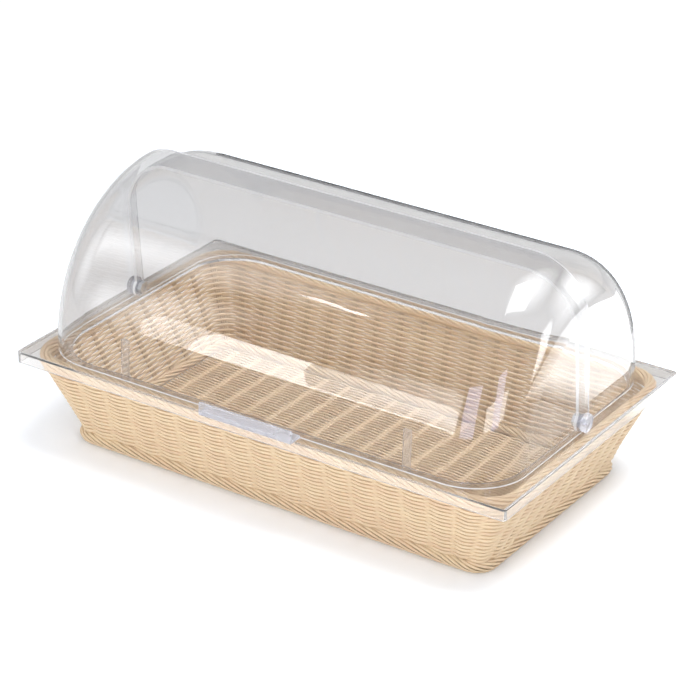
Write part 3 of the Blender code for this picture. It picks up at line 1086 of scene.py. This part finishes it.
def ring_solid(name, section, paints, edge_width):
    """section lists (half sizes, corner radius, height, paint number) in order round it."""
    work = bmesh.new()
    rings = []
    numbers = []
    for halves, corner, height, number in section:
        loop = matched_loop(halves, corner)
        rings.append([work.verts.new((x * MM, y * MM, height * MM)) for x, y in loop])
        numbers.append(number)
    count = len(rings[0])
    for index, ring in enumerate(rings):
        following = rings[(index + 1) % len(rings)]
        for here in range(count):
            onward = (here + 1) % count
            face = work.faces.new((ring[here], ring[onward], following[onward], following[here]))
            face.material_index = numbers[index]
    bmesh.ops.recalc_face_normals(work, faces=work.faces)
    made = put_in_scene(name, smooth_mesh(name, work, paints))
    soften_edges(made, edge_width)
    return made


def grown(halves, amount):
    return (halves[0] + amount, halves[1] + amount)


inner_half = grown(frame_half, -sheet_thickness)
inner_corner = frame_corner - sheet_thickness
frame_section = [
    (frame_half, frame_corner, plate_top, 1),
    (frame_half, frame_corner, skirt_bottom, 1),
    (inner_half, inner_corner, skirt_bottom, 1),
    (inner_half, inner_corner, plate_bottom, 0),
    (opening_half, opening_corner, plate_bottom, 1),
    (opening_half, opening_corner, plate_top, 0),
]
frame_paints = (frame_paint, skirt_paint)
frame_piece = ring_solid("cover_frame_smooth", frame_section, frame_paints, frame_bevel)
finish_piece(frame_piece, "cover", "clear_sheet", "cover_frame")
print("faces in the frame:", len(frame_piece.data.polygons))

# %% [markdown]
# ### Small mouldings and pivot hardware
#
# The grip, the tabs, the knobs and the steel have the right shapes in the CAD model already,
# so they stay as they are and only get a finish.

# %% Finishes for the carried-over parts
steel_dark = (0.52, 0.53, 0.54, 1.0)
steel_light = (0.66, 0.67, 0.68, 1.0)
brush_scale = 900.0


def steel_finish():
    made = new_material("brushed_steel")
    tree = made.node_tree
    where = tree.nodes.new("ShaderNodeTexCoord").outputs["Object"]
    grain = noise_node(tree, where, brush_scale, 3.0)
    shader = tree.nodes.new("ShaderNodeBsdfPrincipled")
    link(tree, mix_colours(tree, grain, steel_dark, steel_light), shader.inputs["Base Color"])
    shader.inputs["Metallic"].default_value = 1.0
    link(tree, mapped(tree, grain, 0.3, 0.7, 0.28, 0.42), shader.inputs["Roughness"])
    show(tree, shader.outputs[0])
    return made


steel_paint = steel_finish()


def repaint(node, paint):
    slots = nodes[node].data.materials
    slots.clear()
    slots.append(paint)


for word in ("left", "right"):
    repaint("pivot_pin_" + word, steel_paint)
    repaint("pivot_nut_" + word, steel_paint)
    repaint("pivot_washer_" + word, moulded_paint)
    repaint("pivot_knob_" + word, moulded_paint)
    repaint("locating_tab_" + word, tab_paint)
repaint("lid_grip", moulded_paint)
repaint("rim_wire", steel_paint)
print("small parts have their finishes")

# %% [markdown]
# ## Light
#
# The white room gives part of the light. One wide soft lamp hangs over the bin, and two low
# ones stand at the front left and the front right. Low lamps light the walls more than the
# table, so the foot keeps its short dark shadow.


# %% Lamps
def soft_lamp(name, place, aim, size, power):
    data = bpy.data.lights.new(name, "AREA")
    data.shape = "RECTANGLE"
    data.size, data.size_y = size
    data.energy = power
    made = put_in_scene(name, data)
    made.location = place
    made.rotation_euler = (Vector(aim) - Vector(place)).to_track_quat("-Z", "Y").to_euler()


lamps = (
    ("overhead", (0.55, 0.3, 2.4), (0.0, 0.0, 0.05), (1.1, 1.1), 32.0),
    ("front_left", (-0.9, -2.6, 0.42), (0.0, 0.0, 0.08), (1.4, 0.7), 22.0),
    ("front_right", (2.3, -1.4, 0.45), (0.0, 0.0, 0.05), (1.4, 0.7), 15.0),
)
for lamp in lamps:
    soft_lamp(*lamp)
print("lamps:", len(lamps))

# %% [markdown]
# The bright patches on the clear lid are windows and lamps of the photographer's room. Each is
# a card that only mirror rays see, so it shows on the plastic and lights nothing else. Clear
# plastic mirrors about a twenty-fifth of what falls on it, which is why the cards are strong.
# A card fades out towards its edges, because a sharp border would look like a cut-out.


# %% Card builder
def soft_edge(tree, coordinate, softness):
    across = value_node(tree, "ABSOLUTE", coordinate, 0.0)
    inside = value_node(tree, "SUBTRACT", 0.5, across)
    return mapped(tree, inside, 0.0, softness / 2, 0.0, 1.0)


def mirror_only(made):
    for kind in ("camera", "diffuse", "transmission", "volume_scatter", "shadow"):
        setattr(made, "visible_" + kind, False)
    return made


def mirror_card(name, place, aim, size, colour, strength, softness):
    paint = new_material(name)
    tree = paint.node_tree
    parts = tree.nodes.new("ShaderNodeSeparateXYZ")
    link(tree, tree.nodes.new("ShaderNodeTexCoord").outputs["Object"], parts.inputs[0])
    fade = value_node(
        tree,
        "MULTIPLY",
        soft_edge(tree, parts.outputs["X"], softness),
        soft_edge(tree, parts.outputs["Y"], softness),
    )
    glow = tree.nodes.new("ShaderNodeEmission")
    glow.inputs["Color"].default_value = colour
    link(tree, value_node(tree, "MULTIPLY", fade, strength), glow.inputs["Strength"])
    show(tree, glow.outputs[0])
    card = flat_sheet(name, [(x, y, 0) for x, y in square], paint)
    turned = (Vector(aim) - Vector(place)).to_track_quat("-Z", "Y")
    card.matrix_world = Matrix.LocRotScale(Vector(place), turned, Vector((size[0], size[1], 1.0)))
    return mirror_only(card)


# %% [markdown]
# Every line below gives a card's place, the point that it faces, its size, colour and strength,
# and how much of it fades. The place for a patch on the lid is found by following a mirror ray
# from the camera to that patch and on into the room.

# %% Mirror cards
window_white = (0.96, 0.98, 1.0, 1.0)
window_lilac = (0.62, 0.68, 1.0, 1.0)
lid_middle = (0.0, -0.05, 0.18)
just_above_table = 0.004
ground_place = (0.85, 0.70, just_above_table)
ground_aim = (0.85, 0.70, 1.0)
cards = (
    ("left_window", (-1.17, -1.66, 0.62), lid_middle, (0.30, 1.5), window_white, 5.5, 0.8),
    ("left_ceiling", (-1.30, -1.05, 1.45), lid_middle, (0.85, 1.45), window_white, 7.5, 0.9),
    ("long_lamp", (-0.40, -1.95, 0.60), lid_middle, (1.06, 0.95), window_white, 5.5, 0.4),
    ("lilac_window_near", (0.62, -1.86, 0.62), lid_middle, (0.86, 1.2), window_lilac, 7.5, 0.1),
    ("lilac_window_far", (1.8, -1.0, 0.62), lid_middle, (0.42, 1.2), window_lilac, 7.5, 0.1),
    ("left_end", (-1.7, -0.9, 1.0), lid_middle, (1.3, 2.0), window_white, 4.5, 0.8),
    ("streak_lamp", (2.05, 0.72, 0.45), lid_middle, (0.45, 1.1), window_white, 13.0, 0.5),
    ("right_wall", (1.5, 1.6, 0.9), lid_middle, (2.0, 2.0), window_white, 7.0, 0.7),
    ("right_ceiling", (0.65, 0.5, 2.1), lid_middle, (1.7, 2.0), window_white, 9.0, 0.8),
    ("right_ground", ground_place, ground_aim, (1.2, 1.0), window_white, 4.5, 0.12),
    ("ceiling_tube", (-0.91, -1.10, 1.66), lid_middle, (0.13, 0.06), window_white, 16.0, 0.2),
)
for card in cards:
    mirror_card(*card)
print("cards:", len(cards))

# %% [markdown]
# One dark sheet on the ground stands for the room behind the table. The drum mirrors it along
# its outline, which draws the thin dark line there.

# %% Dark ground
dark_grey = (0.02, 0.02, 0.02, 1.0)
dark_spots = ((-0.475, 0.475), (0.30, 0.475), (-1.0, 4.3), (-2.86, 4.3))
dark_paint = new_material("dark_ground")
dark_shader = dark_paint.node_tree.nodes.new("ShaderNodeEmission")
dark_shader.inputs["Color"].default_value = dark_grey
show(dark_paint.node_tree, dark_shader.outputs[0])
dark_corners = [(x, y, just_above_table) for x, y in dark_spots]
mirror_only(flat_sheet("dark_ground", dark_corners, dark_paint))
print("corners of the dark ground:", dark_corners)
